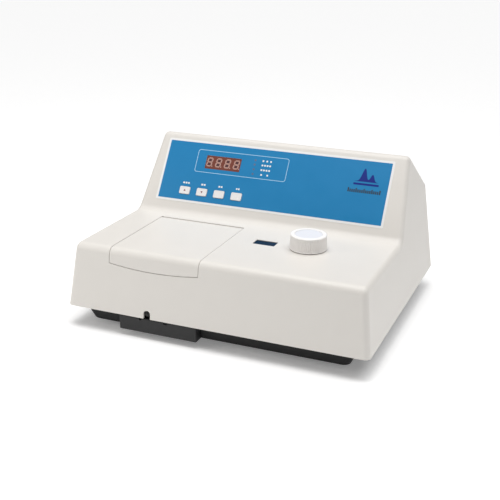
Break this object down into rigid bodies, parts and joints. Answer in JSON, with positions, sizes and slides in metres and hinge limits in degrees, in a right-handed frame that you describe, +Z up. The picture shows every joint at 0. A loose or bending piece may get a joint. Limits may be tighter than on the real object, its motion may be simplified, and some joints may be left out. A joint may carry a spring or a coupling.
{
  "type": "spectrophotometer",
  "caption": "Bench visible-light spectrophotometer with a sloping keypad and digital display, a top wavelength knob, and a hinged lid over a sliding cuvette carriage.",
  "frame": {"origin": "centre of the footprint, in the plane of the feet's undersides", "axes": "+X to the instrument's right along its width, +Y from the front to the back, +Z up"},
  "size_m": [0.384, 0.325, 0.2005],
  "materials": {
    "cover_plastic": "satin moulded ABS, warm cream white",
    "tray_plastic": "black moulded plastic, fine texture",
    "dark_plastic": "dark grey moulded plastic, fine texture",
    "black_plastic": "black moulded plastic",
    "rubber": "matt rubber",
    "steel": "bright zinc-plated steel",
    "polished_rod": "ground and polished",
    "brass": "turned",
    "overlay_film": "blue printed film with a white border",
    "display_red": "dark red-brown filter",
    "led_red": "diffused lens, unlit",
    "key_plastic": "white, smooth",
    "knob_plastic": "white, smooth with fine grip ribs",
    "dark_glass": "tinted window",
    "dial_plate": "white enamel with black divisions",
    "optic_black": "matt black optical paint",
    "bare_aluminium": "mill finish sheet",
    "mirror": "front-surface aluminised",
    "grating_glass": "ruled, iridescent",
    "clear_glass": "polished",
    "ceramic": "unglazed steatite",
    "circuit_board": "green solder mask",
    "component_black": "moulded epoxy",
    "core_steel": "varnished laminations",
    "winding": "yellow insulating tape",
    "seal_foam": "closed-cell foam",
    "rocker_red": "moulded"
  },
  "bodies": {
    "chassis": {"base_tray": "tray_plastic", "rubber_feet": "rubber", "foot_screws": "steel", "cover": "cover_plastic", "m3_screws": "steel", "control_overlay": "overlay_film", "display_window": "display_red", "digit_display": "component_black", "indicator_leds": "led_red", "display_board": "circuit_board", "key_switches": "component_black", "wavelength_window": "dark_glass", "shaft_bushing": "brass", "monochromator_housing": "optic_black", "monochromator_cover": "optic_black", "collimating_mirror": "mirror", "folding_mirror": "mirror", "entrance_slit": "bare_aluminium", "exit_slit": "bare_aluminium", "condenser_lens": "clear_glass", "lamp": "clear_glass", "lamp_socket": "ceramic", "lamp_housing": "bare_aluminium", "sample_compartment": "dark_plastic", "guide_rails": "polished_rod", "pull_rod_bushing": "brass", "lid_hinge_pins": "polished_rod", "detector_housing": "optic_black", "photodiode": "steel", "preamp_board": "circuit_board", "main_board": "circuit_board", "board_standoffs": "brass", "transformer_core": "core_steel", "transformer_coil": "winding", "heatsink": "optic_black", "rear_panel": "dark_plastic", "power_inlet": "black_plastic", "inlet_blades": "brass", "switch_frame": "black_plastic", "fuse_holder": "black_plastic", "data_port": "steel"},
    "lid": {"lid": "cover_plastic", "lid_seal": "seal_foam"},
    "wavelength_drive": {"wavelength_knob": "knob_plastic", "knob_cap": "knob_plastic", "knob_shaft": "polished_rod", "wavelength_dial": "dial_plate", "wavelength_cam": "brass"},
    "grating_carrier": {"grating_table": "optic_black", "grating": "grating_glass", "follower_arm": "bare_aluminium", "follower_roller": "brass"},
    "sample_changer": {"cuvette_carriage": "optic_black", "pull_rod": "polished_rod", "pull_rod_knob": "black_plastic"},
    "rocker": {"power_rocker": "rocker_red"},
    "key_up": {"key_up": "key_plastic"},
    "key_down": {"key_down": "key_plastic"},
    "key_mode": {"key_mode": "key_plastic"},
    "key_print": {"key_print": "key_plastic"}
  },
  "joints": [
    {"name": "lid_hinge", "type": "hinge", "parent": "chassis", "child": "lid", "pos_m": [-0.076, -0.0221, 0.1026], "axis": [-1, 0, 0], "range_deg": [0, 95]},
    {"name": "wavelength_turn", "type": "hinge", "parent": "chassis", "child": "wavelength_drive", "pos_m": [0.083, -0.058, 0.1066], "axis": [0, 0, 1], "range_deg": [-78, 222]},
    {"name": "grating_turn", "type": "hinge", "parent": "chassis", "child": "grating_carrier", "pos_m": [0.025, -0.0375, 0.053], "axis": [0, 0, 1], "range_deg": [-7.1, 20.1]},
    {"name": "changer_slide", "type": "slide", "parent": "chassis", "child": "sample_changer", "axis": [0, -1, 0], "range_m": [0, 0.045]},
    {"name": "rocker_tilt", "type": "hinge", "parent": "chassis", "child": "rocker", "pos_m": [-0.014, 0.15182, 0.06601], "axis": [1, 0, 0], "range_deg": [0, 20]},
    {"name": "key_up_press", "type": "slide", "parent": "chassis", "child": "key_up", "axis": [0, 0.8427, -0.5384], "range_m": [0, 0.0006], "stiffness_N_per_m": 400, "springref_m": -0.0006},
    {"name": "key_down_press", "type": "slide", "parent": "chassis", "child": "key_down", "axis": [0, 0.8427, -0.5384], "range_m": [0, 0.0006], "stiffness_N_per_m": 400, "springref_m": -0.0006},
    {"name": "key_mode_press", "type": "slide", "parent": "chassis", "child": "key_mode", "axis": [0, 0.8427, -0.5384], "range_m": [0, 0.0006], "stiffness_N_per_m": 400, "springref_m": -0.0006},
    {"name": "key_print_press", "type": "slide", "parent": "chassis", "child": "key_print", "axis": [0, 0.8427, -0.5384], "range_m": [0, 0.0006], "stiffness_N_per_m": 400, "springref_m": -0.0006}
  ],
  "couplings": [
    {"joint": "grating_turn", "follows": "wavelength_turn", "ratio": 0.09}
  ]
}
